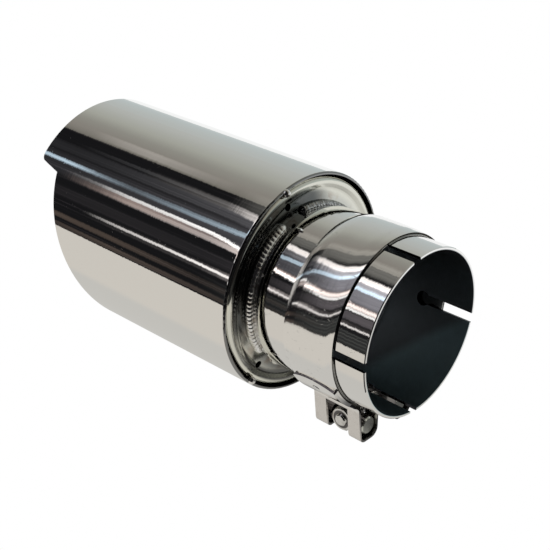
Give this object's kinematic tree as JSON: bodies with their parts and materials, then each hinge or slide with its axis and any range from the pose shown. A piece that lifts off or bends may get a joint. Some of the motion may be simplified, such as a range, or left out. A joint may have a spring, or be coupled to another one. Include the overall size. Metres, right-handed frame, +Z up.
{
  "type": "exhaust tip",
  "caption": "Polished double-wall exhaust tip with a visor outlet, a welded end cap and a slotted inlet sleeve squeezed by a band clamp.",
  "frame": {"origin": "on the pipe's axis in the plane of the inlet sleeve's mouth", "axes": "+X along the pipe's axis, out of the inlet mouth, away from the outlet; +Z up, with the clamp's loops and screw underneath and the outlet's visor on top"},
  "size_m": [0.1964, 0.101, 0.1047],
  "materials": {
    "polished_steel": "mirror polished",
    "plain_steel": "drawn tube, unpolished inside",
    "pressed_steel": "satin pressed sheet",
    "sleeve_steel": "polished with fine turning marks",
    "band_steel": "bright strip",
    "weld_steel": "as welded",
    "fastener_steel": "bright plated"
  },
  "bodies": {
    "root": {"outer_shell": "polished_steel", "core_pipe": "plain_steel", "end_cap": "pressed_steel", "cap_weld": "weld_steel", "shell_tack_welds": "weld_steel", "inlet_sleeve": "sleeve_steel", "sleeve_tack_welds": "weld_steel", "clamp_band": "band_steel", "band_spot_welds": "weld_steel", "near_barrel": "fastener_steel", "far_barrel": "fastener_steel", "clamp_nut": "fastener_steel", "clamp_screw": "fastener_steel"}
  },
  "joints": []
}
